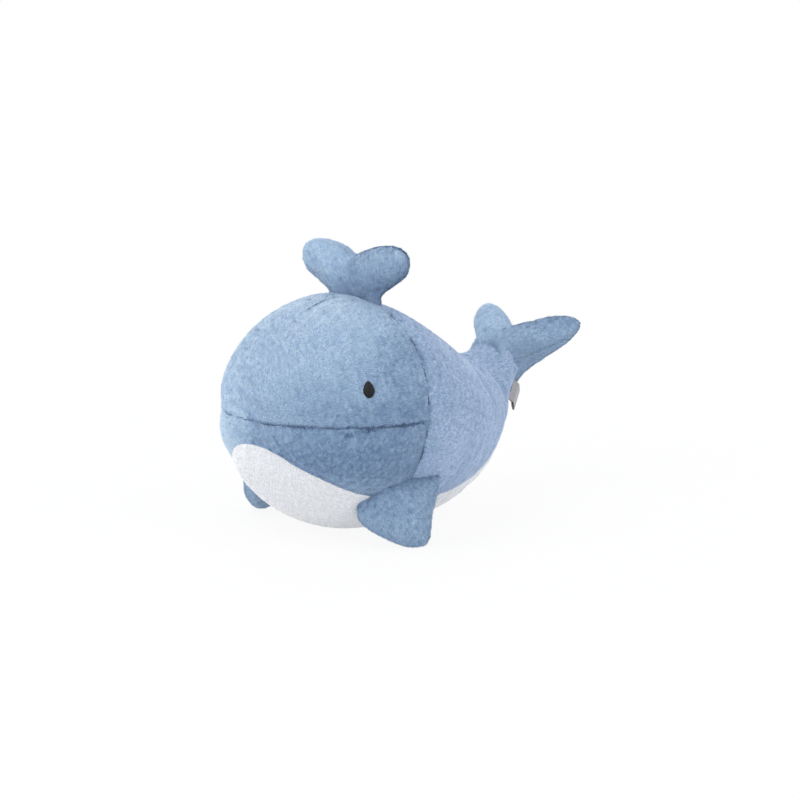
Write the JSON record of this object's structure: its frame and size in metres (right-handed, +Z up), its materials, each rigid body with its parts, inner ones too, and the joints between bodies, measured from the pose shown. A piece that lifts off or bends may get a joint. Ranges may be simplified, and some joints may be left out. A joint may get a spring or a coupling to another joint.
{
  "type": "stuffed whale toy",
  "caption": "plush whale with a plump round body on a white belly, a two-lobed spout on the crown, soft flippers, raised tail flukes and small dark eyes",
  "frame": {"origin": "middle of the flat on which the belly rests on the floor", "axes": "+Z up, nose towards -Y, tail towards +Y, the whale's left towards +X"},
  "size_m": [0.189, 0.3058, 0.2144],
  "materials": {
    "blue_plush": "short light-blue pile with a soft nap",
    "white_plush": "short off-white pile",
    "fibre_filling": "loose white polyester fibre",
    "pellet_weight": "plastic pellets in a thin cloth bag",
    "dark_eye": "satin near-black",
    "washer_plastic": "plain white",
    "grey_ribbon": "blank woven grey ribbon"
  },
  "bodies": {
    "whale_body": {"head_panel": "blue_plush", "jaw_panel": "blue_plush", "left_side_panel": "blue_plush", "right_side_panel": "blue_plush", "belly_panel": "white_plush", "body_stuffing": "fibre_filling", "pellet_bag": "pellet_weight", "left_eye": "dark_eye", "left_eye_washer": "washer_plastic", "right_eye": "dark_eye", "right_eye_washer": "washer_plastic"},
    "spout": {"spout_front_panel": "blue_plush", "spout_back_panel": "blue_plush", "spout_stuffing": "fibre_filling"},
    "left_fin": {"left_fin_outer_panel": "blue_plush", "left_fin_inner_panel": "blue_plush", "left_fin_stuffing": "fibre_filling"},
    "right_fin": {"right_fin_outer_panel": "blue_plush", "right_fin_inner_panel": "blue_plush", "right_fin_stuffing": "fibre_filling"},
    "flukes": {"fluke_upper_panel": "blue_plush", "fluke_lower_panel": "blue_plush", "fluke_stuffing": "fibre_filling"},
    "label_tab": {"label": "grey_ribbon"}
  },
  "joints": [
    {"name": "spout_bend", "type": "hinge", "parent": "whale_body", "child": "spout", "pos_m": [0, -0.01265, 0.1747], "axis": [1, 0, 0], "range_deg": [-30, 15], "stiffness_Nm_per_rad": 0.06},
    {"name": "left_fin_lift", "type": "hinge", "parent": "whale_body", "child": "left_fin", "pos_m": [0.08083, -0.02965, 0.04315], "axis": [-0.2756, -0.9613, 0], "range_deg": [0, 35], "stiffness_Nm_per_rad": 0.02},
    {"name": "right_fin_lift", "type": "hinge", "parent": "whale_body", "child": "right_fin", "pos_m": [-0.08083, -0.02965, 0.04315], "axis": [-0.2756, 0.9613, 0], "range_deg": [0, 35], "stiffness_Nm_per_rad": 0.02},
    {"name": "tail_bend", "type": "hinge", "parent": "whale_body", "child": "flukes", "pos_m": [0, 0.14135, 0.10725], "axis": [1, 0, 0], "range_deg": [-7, 15], "stiffness_Nm_per_rad": 0.1},
    {"name": "label_flap", "type": "hinge", "parent": "whale_body", "child": "label_tab", "pos_m": [0.01942, 0.1447, 0.08532], "axis": [0.1998, -0.596, -0.7777], "range_deg": [-8, 80], "stiffness_Nm_per_rad": 0.0006}
  ]
}
